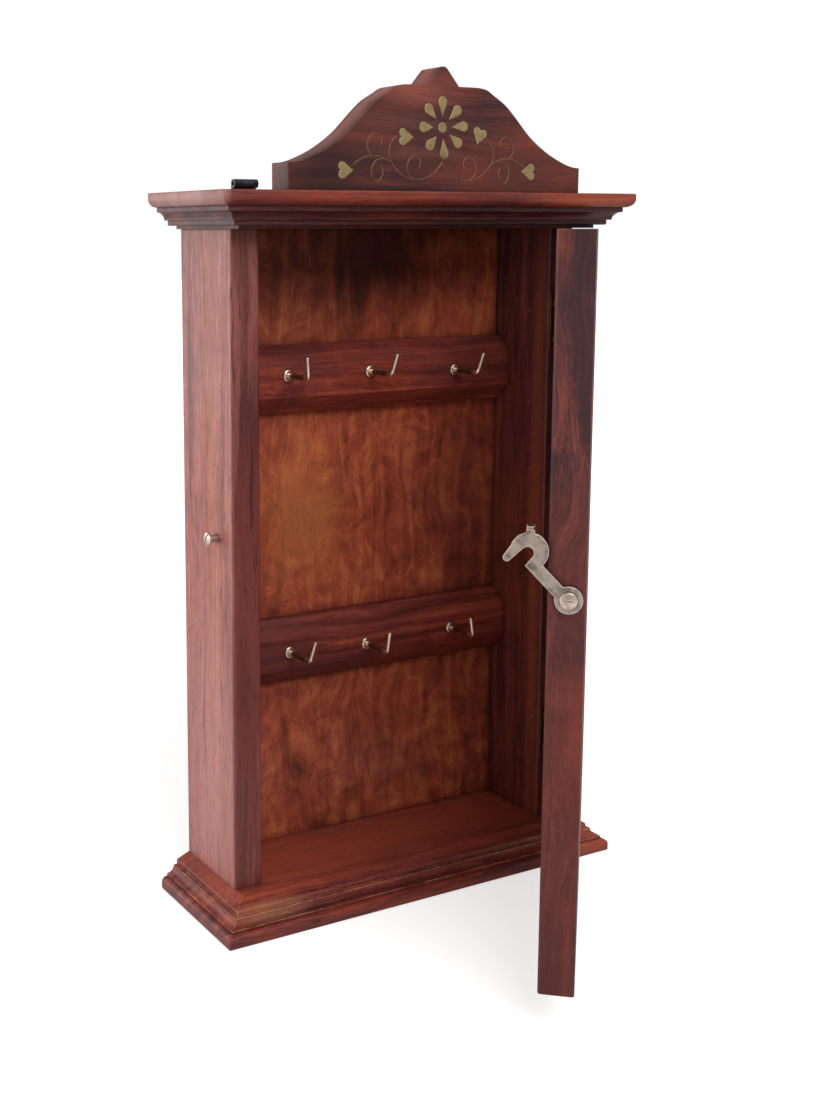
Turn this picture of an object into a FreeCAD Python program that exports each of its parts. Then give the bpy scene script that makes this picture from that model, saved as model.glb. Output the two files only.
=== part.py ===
"""Key cabinet: a small rosewood cabinet with a moulded plinth and cornice, a crest inlaid with brass, two
rails of brass key hooks, and a door on two butt hinges that a swing hook latches to a screw in the side.

Millimetres, +Z up, +Y to the wall. The origin is the middle of the plinth's underside. The door is drawn
shut, about its hinge axis, and stands open by door_open_angle; the latch is drawn hooked, about its screw,
and is raised by latch_open_angle.
"""
import FreeCAD, Part
import math
import os
import re

from FreeCAD import Placement, Rotation, Vector

doc = FreeCAD.newDocument("key_cabinet")

SIZES = {
    # carcass
    "carcass_width": 176.0,
    "carcass_depth": 46.0,
    "carcass_height": 280.0,
    "side_thickness": 13.0,
    "edge_round": 1.0,
    "back_thickness": 6.0,
    "back_recess": 1.0,
    "rebate_width": 6.0,
    # plinth and cornice
    "plinth_base_height": 5.6,
    "plinth_base_round": 2.2,
    "plinth_mould_height": 9.4,
    "plinth_slope_fall": 2.6,
    "plinth_side_overhang": 13.8,
    "plinth_front_overhang": 21.2,
    "cornice_bed_height": 9.0,
    "cornice_cap_height": 6.0,
    "cornice_side_overhang": 15.2,
    "cornice_front_overhang": 24.3,
    "bead_out": 2.2,
    "bead_height": 1.4,
    "fillet_out": 6.2,
    "fillet_height": 2.2,
    "fillet_round": 0.6,
    "cove_out": 7.8,
    "cove_radius": 3.4,
    "cap_round": 3.6,
    "board_edge_round": 0.8,
    # crest and its brass inlay
    "crest_width": 146.0,
    "crest_thickness": 13.0,
    "crest_setback": 3.9,
    "crest_end_height": 10.8,
    "crest_shoulder_height": 42.7,
    "crest_shoulder_reach": 15.0,
    "crest_bump_reach": 8.1,
    "crest_bump_height": 52.2,
    "crest_bump_round": 3.2,
    "dowel_radius": 3.0,
    "dowel_in_crest": 7.0,
    "dowel_in_cap": 4.5,
    "dowel_spacing": 96.0,
    "inlay_depth": 1.0,
    "inlay_proud": 0.12,
    "flower_height": 26.0,
    "flower_eye_radius": 2.1,
    "petal_start": 4.6,
    "petal_round": 2.1,
    "heart_length": 6.9,
    "heart_lobe_radius": 1.75,
    "heart_lobe_spread": 1.66,
    "vine_width": 0.36,
    # key rails and hooks
    "rail_height": 30.0,
    "rail_thickness": 11.0,
    "rail_bevel": 7.5,
    "rail_back_round": 0.6,
    "rail_face_round": 0.8,
    "upper_rail_height": 214.5,
    "lower_rail_height": 91.0,
    "hook_pitch": 44.5,
    "hook_offset": -1.0,
    "hook_wire_radius": 1.1,
    "hook_reach": 18.0,
    "hook_rise": 9.2,
    "hook_bend_radius": 2.0,
    "hook_collar_radius": 2.9,
    "hook_collar_thickness": 1.3,
    "hook_collar_round": 0.9,
    "hook_shank_length": 8.0,
    # door
    "door_open_angle": 48.5,
    "door_thickness": 13.5,
    "door_face_gap": 0.3,
    "door_end_gap": 0.4,
    "door_overhang": 1.6,
    "stile_width": 30.0,
    "door_rail_width": 32.0,
    "door_edge_round": 1.4,
    "groove_depth": 6.0,
    "groove_width": 5.0,
    "groove_setback": 3.5,
    "panel_play": 0.3,
    "panel_field_rise": 2.5,
    "panel_bevel_width": 12.0,
    # hinges
    "hinge_inset": 42.0,
    "hinge_setback": 3.0,
    "leaf_height": 25.0,
    "leaf_width": 7.0,
    "leaf_thickness": 1.0,
    "leaf_gap": 0.1,
    "knuckle_radius": 1.9,
    "knuckle_gap": 0.1,
    "knuckle_room": 0.2,
    "hinge_pin_radius": 0.95,
    "running_clearance": 0.05,
    "pin_head_radius": 1.6,
    "pin_head_height": 0.8,
    "hinge_screw_spacing": 16.0,
    "hinge_screw_radius": 0.9,
    "hinge_screw_head_radius": 1.8,
    "hinge_screw_head_height": 0.9,
    "hinge_screw_length": 8.0,
    # latch
    "latch_open_angle": 46.0,
    "latch_height": 150.4,
    "latch_inset": 7.5,
    "latch_thickness": 1.5,
    "latch_gap": 0.3,
    "latch_play": 0.1,
    "latch_eye_radius": 5.0,
    "latch_arm_width": 4.65,
    "latch_arm_rise": 1.8,
    "latch_reach": 22.0,
    "throat_rise": 0.9,
    "throat_radius": 2.25,
    "latch_hook_radius": 6.75,
    "latch_finger_length": 6.5,
    "latch_finger_width": 2.8,
    "latch_cheek_angle": -28.0,
    "latch_heel": 2.8,
    "latch_tab_width": 3.0,
    "latch_tab_length": 2.7,
    "latch_tab_lip": 2.6,
    "latch_tab_angle": 46.0,
    "latch_screw_radius": 1.5,
    "latch_screw_head_radius": 3.1,
    "latch_screw_length": 12.0,
    "latch_screw_angle": 82.0,
    "catch_screw_radius": 1.6,
    "catch_screw_head_radius": 2.95,
    "catch_screw_length": 9.0,
    "catch_screw_angle": -23.0,
    "catch_play": 0.6,
    "screw_head_height": 1.5,
    "screw_dome_share": 0.4,
    "screw_slot_width": 0.9,
    "screw_slot_depth": 0.7,
    # hangers
    "hanger_inset": 30.5,
    "hanger_width": 11.6,
    "hanger_thickness": 1.2,
    "hanger_standing": 6.4,
    "hanger_drop": 14.0,
    "hanger_roll_radius": 1.9,
    "hanger_eye_radius": 1.0,
    "hanger_screw_radius": 1.0,
    "hanger_screw_head_radius": 2.2,
    "hanger_screw_head_height": 1.0,
    "hanger_screw_length": 9.0,
    "hanger_screw_low": 4.5,
    "hanger_screw_high": 12.0,
    # hidden joinery
    "wood_screw_radius": 1.6,
    "wood_screw_head_radius": 3.2,
    "wood_screw_head_height": 1.6,
    "wood_screw_length": 30.0,
    "plinth_screw_recess": 1.0,
    "rail_screw_length": 12.0,
    "back_pin_radius": 0.6,
    "back_pin_length": 14.0,
    "back_pin_rows": 4,
}

# Places and sizes that follow from the driving ones.
DERIVED = {
    "half_width": "carcass_width / 2",
    "inner_half": "half_width - side_thickness",
    "back_y": "(carcass_depth + plinth_front_overhang) / 2",
    "front_y": "back_y - carcass_depth",
    "side_middle_x": "half_width - side_thickness / 2",
    "plinth_top": "plinth_base_height + plinth_mould_height",
    "carcass_top": "plinth_top + carcass_height",
    "cap_bottom": "carcass_top + cornice_bed_height",
    "cabinet_top": "cap_bottom + cornice_cap_height",
    "back_rear_y": "back_y - back_recess",
    "back_front_y": "back_rear_y - back_thickness",
    "rail_front_y": "back_front_y - rail_thickness",
    "crest_front_y": "front_y - cornice_front_overhang + crest_setback",
    "hinge_x": "half_width - hinge_setback",
    "hinge_y": "front_y - door_face_gap / 2",
    "door_right": "-knuckle_radius",
    "door_left": "-hinge_x - half_width - door_overhang",
    "door_width": "door_right - door_left",
    "door_inner": "-door_face_gap / 2",
    "door_outer": "door_inner - door_thickness",
    "door_bottom": "plinth_top + door_end_gap",
    "door_top": "carcass_top - door_end_gap",
    "knuckle_bore": "hinge_pin_radius + running_clearance",
    "latch_z": "plinth_top + latch_height",
    "latch_y": "door_inner - latch_inset",
    "latch_neck": "latch_gap + latch_thickness + latch_play",
    "catch_neck": "door_overhang + latch_neck + catch_play",
    "catch_y": "hinge_y + latch_y + latch_reach",
    "catch_z": "latch_z + throat_rise",
    "hanger_x": "half_width - hanger_inset",
    "hanger_top": "cabinet_top + hanger_standing",
}

sheet = doc.addObject("Spreadsheet::Sheet", "Sizes")
for row, (alias, size) in enumerate(SIZES.items(), start=1):
    sheet.set(f"A{row}", alias)
    sheet.set(f"B{row}", str(size))
    sheet.setAlias(f"B{row}", alias)
doc.recompute()


def bound(rule):
    """A rule in plain names, spelled out in the sheet's aliases for setExpression."""
    def spell(match):
        word = match.group(0)
        if word in DERIVED:
            return "(" + bound(DERIVED[word]) + ")"
        return "Sizes." + word if word in SIZES else word
    return re.sub(r"[a-z_][a-z_0-9]*", spell, rule)


def number(rule):
    """The value of a rule, read from the sheet."""
    return float(sheet.evalExpression(bound(rule)))


def bind(obj, **rules):
    for name, rule in rules.items():
        obj.setExpression(name, bound(rule))


def stand(obj, x="0", y="0", z="0"):
    """Bind where an object stands."""
    for axis, rule in zip("xyz", (x, y, z)):
        obj.setExpression("Placement.Base." + axis, bound(rule))
    return obj


# --- outlines -------------------------------------------------------------------------------------

def rounded(points):
    """Lines and arcs of a closed outline of (x, y) or (x, y, corner radius) points."""
    corners = [(Vector(p[0], p[1], 0), p[2] if len(p) > 2 else 0.0) for p in points]
    turns = []
    for i, (corner, radius) in enumerate(corners):
        into = (corner - corners[i - 1][0]).normalize()
        out = (corners[(i + 1) % len(corners)][0] - corner).normalize()
        half = into.getAngle(out) / 2
        trim = radius * math.tan(half)
        first, last = corner - into * trim, corner + out * trim
        middle = None
        if radius:
            inward = (out - into).normalize()
            middle = corner + inward * (radius / math.cos(half) - radius)
        turns.append((first, middle, last))
    edges = []
    for i, (first, middle, last) in enumerate(turns):
        if middle:
            edges.append(Part.Arc(first, middle, last))
        following = turns[(i + 1) % len(turns)][0]
        if last.distanceToPoint(following) > 1e-6:
            edges.append(Part.LineSegment(last, following))
    return edges


def rectangle(x_low, y_low, x_high, y_high):
    return rounded([(x_low, y_low), (x_high, y_low), (x_high, y_high), (x_low, y_high)])


def circle(x, y, radius):
    return Part.Circle(Vector(x, y, 0), Vector(0, 0, 1), radius)


def padded(name, plane, outline, start, length):
    """A body padded from an outline on its own XY, XZ or YZ plane, from start along +Z, +Y or +X."""
    body = doc.addObject("PartDesign::Body", name)
    origin_plane = next(f for f in body.Origin.OriginFeatures if f.Role == plane + "_Plane")
    sketch = body.newObject("Sketcher::SketchObject", name + "_outline")
    sketch.AttachmentSupport = (origin_plane, "")
    sketch.MapMode = "FlatFace"
    backwards = plane == "XZ"
    bind(sketch, **{"AttachmentOffset.Base.z": ("-(" + start + ")") if backwards else start})
    sketch.addGeometry(outline, False)
    pad = body.newObject("PartDesign::Pad", name + "_pad")
    pad.Profile = sketch
    pad.Reversed = backwards
    bind(pad, Length=length)
    return body


# --- solids and their combinations ----------------------------------------------------------------

def box(name, corner, size):
    obj = doc.addObject("Part::Box", name)
    bind(obj, Length=size[0], Width=size[1], Height=size[2])
    return stand(obj, *corner)


def cylinder(name, foot, radius, height, along="z"):
    obj = doc.addObject("Part::Cylinder", name)
    turns = {"z": Rotation(), "y": Rotation(Vector(1, 0, 0), -90), "x": Rotation(Vector(0, 1, 0), 90)}
    obj.Placement = Placement(Vector(), turns[along])
    bind(obj, Radius=radius, Height=height)
    return stand(obj, *foot)


def join(name, *pieces):
    obj = doc.addObject("Part::MultiFuse", name)
    obj.Shapes = list(pieces)
    return obj


def cut(name, base, *tools):
    obj = doc.addObject("Part::Cut", name)
    obj.Base = base
    obj.Tool = tools[0] if len(tools) == 1 else join(name + "_cutter", *tools)
    return obj


def common(name, first, second):
    obj = doc.addObject("Part::Common", name)
    obj.Base = first
    obj.Tool = second
    return obj


def made(name, shape):
    """A piece whose shape is made with Part's own functions."""
    obj = doc.addObject("Part::Feature", name)
    obj.Shape = shape
    return obj


def screw(radius, length, head_radius, head_height, neck=0.0, domed=False):
    """A slotted screw along Z: its shank runs down from z = 0 and its head stands above the bare neck."""
    point, shoulder = Vector(0, 0, -length), Vector(radius, 0, radius - length)
    seat, crown = Vector(radius, 0, neck), Vector(0, 0, neck + head_height)
    edges = [Part.LineSegment(point, shoulder), Part.LineSegment(shoulder, seat)]
    if domed:
        rise = head_height * number("screw_dome_share")
        brim, rim = Vector(head_radius, 0, neck), Vector(head_radius, 0, neck + head_height - rise)
        middle = Vector(head_radius / 2, 0, neck + head_height - rise / 4)
        edges += [Part.LineSegment(seat, brim), Part.LineSegment(brim, rim), Part.Arc(rim, middle, crown)]
    else:
        rim = Vector(head_radius, 0, neck + head_height)
        edges += [Part.LineSegment(seat, rim), Part.LineSegment(rim, crown)]
    edges.append(Part.LineSegment(crown, point))
    outline = Part.Wire([edge.toShape() for edge in edges])
    solid = Part.Face(outline).revolve(Vector(), Vector(0, 0, 1), 360)
    if domed:
        width, depth = number("screw_slot_width"), number("screw_slot_depth")
        slot = Part.makeBox(2 * head_radius, width, depth + head_height)
        slot.translate(Vector(-head_radius, -width / 2, crown.z - depth))
        solid = solid.cut(slot)
    return solid


def aimed(shape, place, direction):
    """A copy of a shape drawn along Z, moved to a place and turned so that its +Z points in a direction."""
    copy = shape.copy()
    aim = Placement(Vector(*place), Rotation(Vector(0, 0, 1), Vector(*direction)))
    copy.Placement = aim.multiply(shape.Placement)
    return copy


def group(name, shapes):
    return made(name, Part.makeCompound(shapes))


NODES = {}


def node(name, obj):
    """Name an object as one sub-part of the cabinet."""
    obj.Label = name
    NODES[name] = obj
    return obj


DOOR_FRAME = Placement(Vector(number("hinge_x"), number("hinge_y"), 0),
                       Rotation(Vector(0, 0, 1), number("door_open_angle")))


def on_door(obj):
    """Hang an object that is drawn about the hinge axis, with the door shut, on the open door."""
    obj.Placement = DOOR_FRAME
    return obj


# --- joinery: screws, pins and dowels, which also cut their own holes -----------------------------

def wood_screw(length):
    return screw(number("wood_screw_radius"), length, number("wood_screw_head_radius"),
                 number("wood_screw_head_height"))


def side_joints():
    """The four (x, y) places where the plinth and the cornice are screwed to the sides."""
    x = number("side_middle_x")
    depth = number("carcass_depth")
    rows = (number("front_y") + depth / 4, number("back_y") - depth / 4)
    return [(sign * x, y) for sign in (-1, 1) for y in rows]


def make_joinery():
    head = number("wood_screw_head_height")
    recess = number("plinth_screw_recess")
    long_screw = wood_screw(number("wood_screw_length"))
    node("plinth_screws", group("plinth_screws", [
        aimed(long_screw, (x, y, recess + head), (0, 0, -1)) for x, y in side_joints()]))
    node("cornice_screws", group("cornice_screws", [
        aimed(long_screw, (x, y, number("cap_bottom") - head), (0, 0, 1)) for x, y in side_joints()]))

    rail_screw = wood_screw(number("rail_screw_length"))
    rail_y = number("back_rear_y") - head
    rail_columns = (number("hook_offset - hook_pitch / 2"), number("hook_offset + hook_pitch / 2"))
    rail_heights = (number("plinth_top + upper_rail_height"), number("plinth_top + lower_rail_height"))
    node("rail_screws", group("rail_screws", [
        aimed(rail_screw, (x, rail_y, z), (0, 1, 0)) for z in rail_heights for x in rail_columns]))

    pin = Part.makeCylinder(number("back_pin_radius"), number("back_pin_length"))
    rows = int(number("back_pin_rows"))
    step = number("carcass_height") / rows
    pin_heights = [number("plinth_top") + step * (row + 0.5) for row in range(rows)]
    pin_x, pin_y = number("inner_half + rebate_width / 2"), number("back_rear_y")
    node("back_panel_pins", group("back_panel_pins", [
        aimed(pin, (sign * pin_x, pin_y, z), (0, -1, 0)) for z in pin_heights for sign in (-1, 1)]))

    dowel = Part.makeCylinder(number("dowel_radius"), number("dowel_in_cap + dowel_in_crest"))
    dowel_x = number("dowel_spacing / 2")
    dowel_y, dowel_z = number("crest_front_y + crest_thickness / 2"), number("cabinet_top - dowel_in_cap")
    node("crest_dowels", group("crest_dowels", [
        aimed(dowel, (sign * dowel_x, dowel_y, dowel_z), (0, 0, 1)) for sign in (-1, 1)]))

    hanger_screw = screw(number("hanger_screw_radius"), number("hanger_screw_length"),
                         number("hanger_screw_head_radius"), number("hanger_screw_head_height"), domed=True)
    hanger_x, hanger_y = number("hanger_x"), number("back_y + hanger_thickness")
    hanger_heights = (number("carcass_top + hanger_screw_low"), number("carcass_top + hanger_screw_high"))
    node("hanger_screws", group("hanger_screws", [
        aimed(hanger_screw, (sign * hanger_x, hanger_y, z), (0, 1, 0))
        for z in hanger_heights for sign in (-1, 1)]))


# --- carcass --------------------------------------------------------------------------------------

def board(name, profile, bottom, height, overhang_gap):
    """A board moulded on its front and both ends. The profile's points, bottom to top, are (reach beyond
    the sides, height, corner radius), and the front reaches overhang_gap further than the ends."""
    half, front, back = number("half_width"), number("front_y") - overhang_gap, number("back_y")
    ends = [(half + reach, bottom + rise, *turn) for reach, rise, *turn in profile]
    ends += [(-half - reach, bottom + rise, *turn) for reach, rise, *turn in reversed(profile)]
    lengthwise = padded(name + "_ends", "XZ", rounded(ends), "back_y - carcass_depth * 2",
                        "carcass_depth * 2")
    fronts = [(front - reach, bottom + rise, *turn) for reach, rise, *turn in profile]
    fronts += [(back, bottom + height), (back, bottom)]
    crosswise = padded(name + "_front", "YZ", rounded(fronts), "-carcass_width", "carcass_width * 2")
    return common(name + "_board", lengthwise, crosswise)


def mould(height, foot, low, upside_down):
    """The fillet and cove that plinth and cornice share. They start low above the foot's points."""
    fillet, cove, radius = number("fillet_out"), number("cove_out"), number("cove_radius")
    step = low + number("fillet_height")
    top = step + radius
    points = [*foot, (fillet, low, number("fillet_round")), (fillet, step), (cove, step),
              (cove, top, radius), (cove + radius, top), (cove + radius, height)]
    if upside_down:
        points = [(reach, height - rise, *turn) for reach, rise, *turn in reversed(points)]
    return points


def make_plinth():
    gap = number("plinth_front_overhang - plinth_side_overhang")
    base_height, mould_height = number("plinth_base_height"), number("plinth_mould_height")
    reach, small = number("plinth_side_overhang"), number("board_edge_round")
    profile = [(reach, 0.0, small), (reach, base_height, number("plinth_base_round"))]
    base = board("plinth_base", profile, 0.0, base_height, gap)
    recesses = [cylinder(f"plinth_screw_recess_{count}", (str(x), str(y), "0"), "wood_screw_head_radius",
                         "plinth_screw_recess") for count, (x, y) in enumerate(side_joints(), start=1)]
    node("plinth_base", cut("plinth_base", base, NODES["plinth_screws"], *recesses))
    profile = mould(mould_height, [(0.0, 0.0)], number("plinth_slope_fall"), True)
    top = board("plinth_moulding", profile, base_height, mould_height, gap)
    node("plinth_moulding", cut("plinth_moulding", top, NODES["plinth_screws"]))


def make_cornice():
    gap = number("cornice_front_overhang - cornice_side_overhang")
    bead, bead_height = number("bead_out"), number("bead_height")
    bed_height, cap_height = number("cornice_bed_height"), number("cornice_cap_height")
    profile = mould(bed_height, [(bead, 0.0), (bead, bead_height)], bead_height, False)
    bed = board("cornice_bed", profile, number("carcass_top"), bed_height, gap)
    node("cornice_bed", cut("cornice_bed", bed, NODES["cornice_screws"], NODES["hanger_screws"]))
    reach, small = number("cornice_side_overhang"), number("board_edge_round")
    profile = [(reach, 0.0, number("cap_round")), (reach, cap_height, small)]
    cap = board("cornice_cap", profile, number("cap_bottom"), cap_height, gap)
    node("cornice_cap", cut("cornice_cap", cap, NODES["crest_dowels"], NODES["hanger_screws"]))


def side_outline(sign):
    """Plan of a side panel, rounded on its front corners and rebated inside for the back panel."""
    outer, inner = sign * number("half_width"), sign * number("inner_half")
    rebate = inner + sign * number("rebate_width")
    front, back, seat = number("front_y"), number("back_y"), number("back_front_y")
    ease = number("edge_round")
    return rounded([(outer, front, ease), (inner, front, ease), (inner, seat), (rebate, seat),
                    (rebate, back), (outer, back)])


def make_sides():
    joints = [NODES[name] for name in ("plinth_screws", "cornice_screws", "back_panel_pins")]
    left = padded("left_board", "XY", side_outline(-1), "plinth_top", "carcass_height")
    node("left_side", cut("left_side", left, *joints, NODES["catch_screw"]))
    right = padded("right_board", "XY", side_outline(1), "plinth_top", "carcass_height")
    hinges = [NODES[name] for name in ("cabinet_leaf_upper", "cabinet_leaf_lower", "cabinet_hinge_screws")]
    node("right_side", cut("right_side", right, *joints, *hinges, *knuckle_notches()))


def make_back_panel():
    sheet_of_ply = box("back_sheet", ("-inner_half - rebate_width", "back_front_y", "plinth_top"),
                       ("2 * (inner_half + rebate_width)", "back_thickness", "carcass_height"))
    node("back_panel", cut("back_panel", sheet_of_ply, NODES["back_panel_pins"], NODES["rail_screws"]))


# --- key rails and hooks --------------------------------------------------------------------------

# How far each hook was driven off its mark, across and up, and how it was left turned, in degrees.
HOOK_SETTING = {
    "upper_hook_left": (-0.4, 2.2, -4),
    "upper_hook_middle": (-2.4, 2.0, 18),
    "upper_hook_right": (-0.3, 0.5, 20),
    "lower_hook_left": (0.2, 0.9, 19),
    "lower_hook_middle": (-3.6, -0.6, 8),
    "lower_hook_right": (-0.4, 0.4, -9),
}


def make_hook(name, column, height):
    """A square-bend hook: a wire that stands out of the rail and turns up, with a collar and a shank."""
    wire, reach, rise = number("hook_wire_radius"), number("hook_reach"), number("hook_rise")
    bend = number("hook_bend_radius")
    body = doc.addObject("PartDesign::Body", name)
    planes = {f.Role: f for f in body.Origin.OriginFeatures}

    section = body.newObject("Sketcher::SketchObject", name + "_section")
    section.AttachmentSupport = (planes["XZ_Plane"], "")
    section.MapMode = "FlatFace"
    section.addGeometry(circle(0, 0, wire), False)

    route = body.newObject("Sketcher::SketchObject", name + "_route")
    route.AttachmentSupport = (planes["YZ_Plane"], "")
    route.MapMode = "FlatFace"
    slant = bend * math.sin(math.pi / 4)
    turn_start, turn_end = Vector(bend - reach, 0, 0), Vector(-reach, bend, 0)
    turn_middle = Vector(bend - reach - slant, bend - slant, 0)
    route.addGeometry([Part.LineSegment(Vector(), turn_start),
                       Part.Arc(turn_start, turn_middle, turn_end),
                       Part.LineSegment(turn_end, Vector(-reach, rise, 0))], False)

    pipe = body.newObject("PartDesign::AdditivePipe", name + "_wire")
    pipe.Profile = section
    pipe.Spine = (route, ["Edge1", "Edge2", "Edge3"])

    collar = body.newObject("Sketcher::SketchObject", name + "_collar")
    collar.AttachmentSupport = (planes["YZ_Plane"], "")
    collar.MapMode = "FlatFace"
    rim, thick = number("hook_collar_radius"), number("hook_collar_thickness")
    ease, shank = number("hook_collar_round"), number("hook_shank_length")
    profile = [(shank, 0), (shank - wire, wire), (0, wire), (0, rim), (-thick, rim, ease), (-thick, 0)]
    collar.addGeometry(rounded(profile), False)
    turned = body.newObject("PartDesign::Revolution", name + "_turned")
    turned.Profile = collar
    turned.ReferenceAxis = (collar, ["H_Axis"])
    turned.Angle = 360
    across, lift, turn = HOOK_SETTING[name]
    body.Placement = Placement(Vector(), Rotation(Vector(0, 1, 0), turn))
    stand(body, f"{column} + {across}", "rail_front_y", f"{height} + {lift}")
    return node(name, body)


def make_rails():
    half, bevel = number("rail_height") / 2, number("rail_bevel")
    front, back = number("rail_front_y"), number("back_front_y")
    back_ease, face_ease = number("rail_back_round"), number("rail_face_round")
    columns = {"left": "hook_offset - hook_pitch", "middle": "hook_offset",
               "right": "hook_offset + hook_pitch"}
    for level in ("upper", "lower"):
        height = f"plinth_top + {level}_rail_height"
        low, high = number(height) - half, number(height) + half
        outline = rounded([(back, low), (back, high), (front + bevel, high, back_ease),
                           (front, high - bevel, face_ease), (front, low + bevel, face_ease),
                           (front + bevel, low, back_ease)])
        strip = padded(f"{level}_rail_strip", "YZ", outline, "-inner_half", "2 * inner_half")
        hooks = [make_hook(f"{level}_hook_{side}", column, height) for side, column in columns.items()]
        node(f"{level}_key_rail", cut(f"{level}_key_rail", strip, NODES["rail_screws"], *hooks))


# --- crest and inlay ------------------------------------------------------------------------------

def drop(tip, centre, radius, depth):
    """A prism with a drop's outline: a point at tip, and a round end about centre."""
    apart = centre - tip
    reach = math.sqrt(apart.Length ** 2 - radius ** 2)
    lean = math.degrees(math.asin(radius / apart.Length))
    along = Vector(apart).normalize()
    sides = [tip + Rotation(Vector(0, 1, 0), turn).multVec(along) * reach for turn in (lean, -lean)]
    edges = [Part.LineSegment(tip, sides[0]), Part.Arc(sides[0], centre + along * radius, sides[1]),
             Part.LineSegment(sides[1], tip)]
    return Part.Face(Part.Wire([edge.toShape() for edge in edges])).extrude(Vector(0, depth, 0))


def strip(start, middle, end, width, depth):
    """A flat wire of a width, bent to the arc through three points."""
    centre = Part.Arc(start, middle, end).toShape().Curve.Center

    def shifted(by):
        return [point + (point - centre).normalize() * by for point in (start, middle, end)]

    outer, inner = shifted(width / 2), shifted(-width / 2)
    edges = [Part.Arc(*outer), Part.LineSegment(outer[2], inner[2]), Part.Arc(*reversed(inner)),
             Part.LineSegment(inner[0], outer[0])]
    return Part.Face(Part.Wire([edge.toShape() for edge in edges])).extrude(Vector(0, depth, 0))


# Petals cut by hand: the way each points, in degrees from +X, and how far it reaches from the flower's eye.
PETALS = ((90, 12.5), (44, 12.4), (4, 12.9), (-37, 12.1),
          (-84, 12.6), (-130, 11.6), (180, 11.4), (133, 12.2))

# Hearts: the middle of each, above the crest's foot, and the way its point faces.
HEARTS = ((-17.8, 21.8, 0), (18.8, 22.9, -108), (-46.6, 8.0, 0), (44.9, 8.8, 180))

# One side's scrolls as arcs through three points: bowl, its rise to the upper heart, the stem to the lower
# heart, and the three curls.
VINES = (
    ((0.0, 12.2), (10.5, 4.95), (24.4, 10.9)),
    ((24.4, 10.9), (26.2, 16.6), (22.6, 22.2)),
    ((24.4, 10.9), (33.8, 14.0), (43.2, 10.4)),
    ((13.6, 4.9), (17.3, 10.6), (14.0, 14.4)),
    ((14.0, 14.4), (11.0, 12.6), (11.4, 9.9)),
    ((34.0, 14.0), (36.6, 19.4), (33.2, 23.0)),
    ((33.2, 23.0), (30.0, 21.4), (30.1, 18.4)),
    ((28.4, 12.7), (34.4, 9.4), (32.6, 3.9)),
    ((32.6, 3.9), (29.2, 6.4), (30.0, 10.0)),
)


def make_inlay():
    face = number("crest_front_y - inlay_proud")
    depth = number("inlay_depth + inlay_proud")
    foot = number("cabinet_top")

    def at(x, height):
        return Vector(x, face, foot + height)

    eye = at(0, number("flower_height"))
    start, round_end = number("petal_start"), number("petal_round")
    pieces = [Part.makeCylinder(number("flower_eye_radius"), depth, eye, Vector(0, 1, 0))]
    for angle, reach in PETALS:
        way = Vector(math.cos(math.radians(angle)), 0, math.sin(math.radians(angle)))
        pieces.append(drop(eye + way * start, eye + way * (reach - round_end), round_end, depth))
    node("inlay_flower", group("inlay_flower", pieces))

    lobe, spread, length = number("heart_lobe_radius"), number("heart_lobe_spread"), number("heart_length")
    hearts = []
    for x, height, angle in HEARTS:
        turn = Rotation(Vector(0, 1, 0), -angle)
        tip = at(x, height) + turn.multVec(Vector(length / 2, 0, 0))
        lobes = [turn.multVec(Vector(lobe - length / 2, 0, side)) for side in (-spread, spread)]
        halves = [drop(tip, at(x, height) + centre, lobe, depth) for centre in lobes]
        hearts.append(halves[0].fuse(halves[1]).removeSplitter())
    node("inlay_hearts", group("inlay_hearts", hearts))

    width = number("vine_width")
    wires = [strip(*(at(sign * x, height) for x, height in arc), width, depth)
             for sign in (-1, 1) for arc in VINES]
    node("inlay_vines", made("inlay_vines", wires[0].multiFuse(wires[1:])))


# The crest's sweep from its end to its shoulder, as shares of the way inward and of the way up.
CREST_SWEEP = ((0.0, 0.0), (0.19, 0.085), (0.285, 0.165), (0.38, 0.27), (0.47, 0.39), (0.575, 0.575),
               (0.645, 0.70), (0.725, 0.82), (0.81, 0.91), (1.0, 1.0))


def crest_outline():
    """Front of the crest above its foot: square ends, a swept rise to the shoulders and a pointed top."""
    half, end = number("crest_width") / 2, number("crest_end_height")
    shoulder, reach = number("crest_shoulder_height"), number("crest_shoulder_reach")
    bump, bump_round = number("crest_bump_reach"), number("crest_bump_round")
    foot = number("cabinet_top")
    step_z, level, peak = foot + end, foot + shoulder, foot + number("crest_bump_height")

    def line(x_from, z_from, x_to, z_to):
        return Part.LineSegment(Vector(x_from, z_from, 0), Vector(x_to, z_to, 0))

    def sweep(sign):
        points = [Vector(sign * (half - (half - reach) * inward), step_z + (level - step_z) * upward, 0)
                  for inward, upward in CREST_SWEEP]
        curve = Part.BSplineCurve()
        curve.interpolate(points, InitialTangent=Vector(-sign, 0, 0), FinalTangent=Vector(-sign, 0, 0))
        return curve

    *point, _ = rounded([(bump, level), (0, peak, bump_round), (-bump, level)])
    return [line(-half, foot, half, foot), line(half, foot, half, step_z), sweep(1),
            line(reach, level, bump, level), *point, line(-bump, level, -reach, level),
            sweep(-1), line(-half, step_z, -half, foot)]


def make_crest():
    make_inlay()
    blank = padded("crest_blank", "XZ", crest_outline(), "crest_front_y", "crest_thickness")
    sunk = [NODES[name] for name in ("inlay_flower", "inlay_hearts", "inlay_vines", "crest_dowels")]
    node("crest", cut("crest", blank, *sunk))


# --- hinges ---------------------------------------------------------------------------------------

def hinge_levels():
    return (("upper", "carcass_top - hinge_inset"), ("lower", "plinth_top + hinge_inset"))


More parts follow.
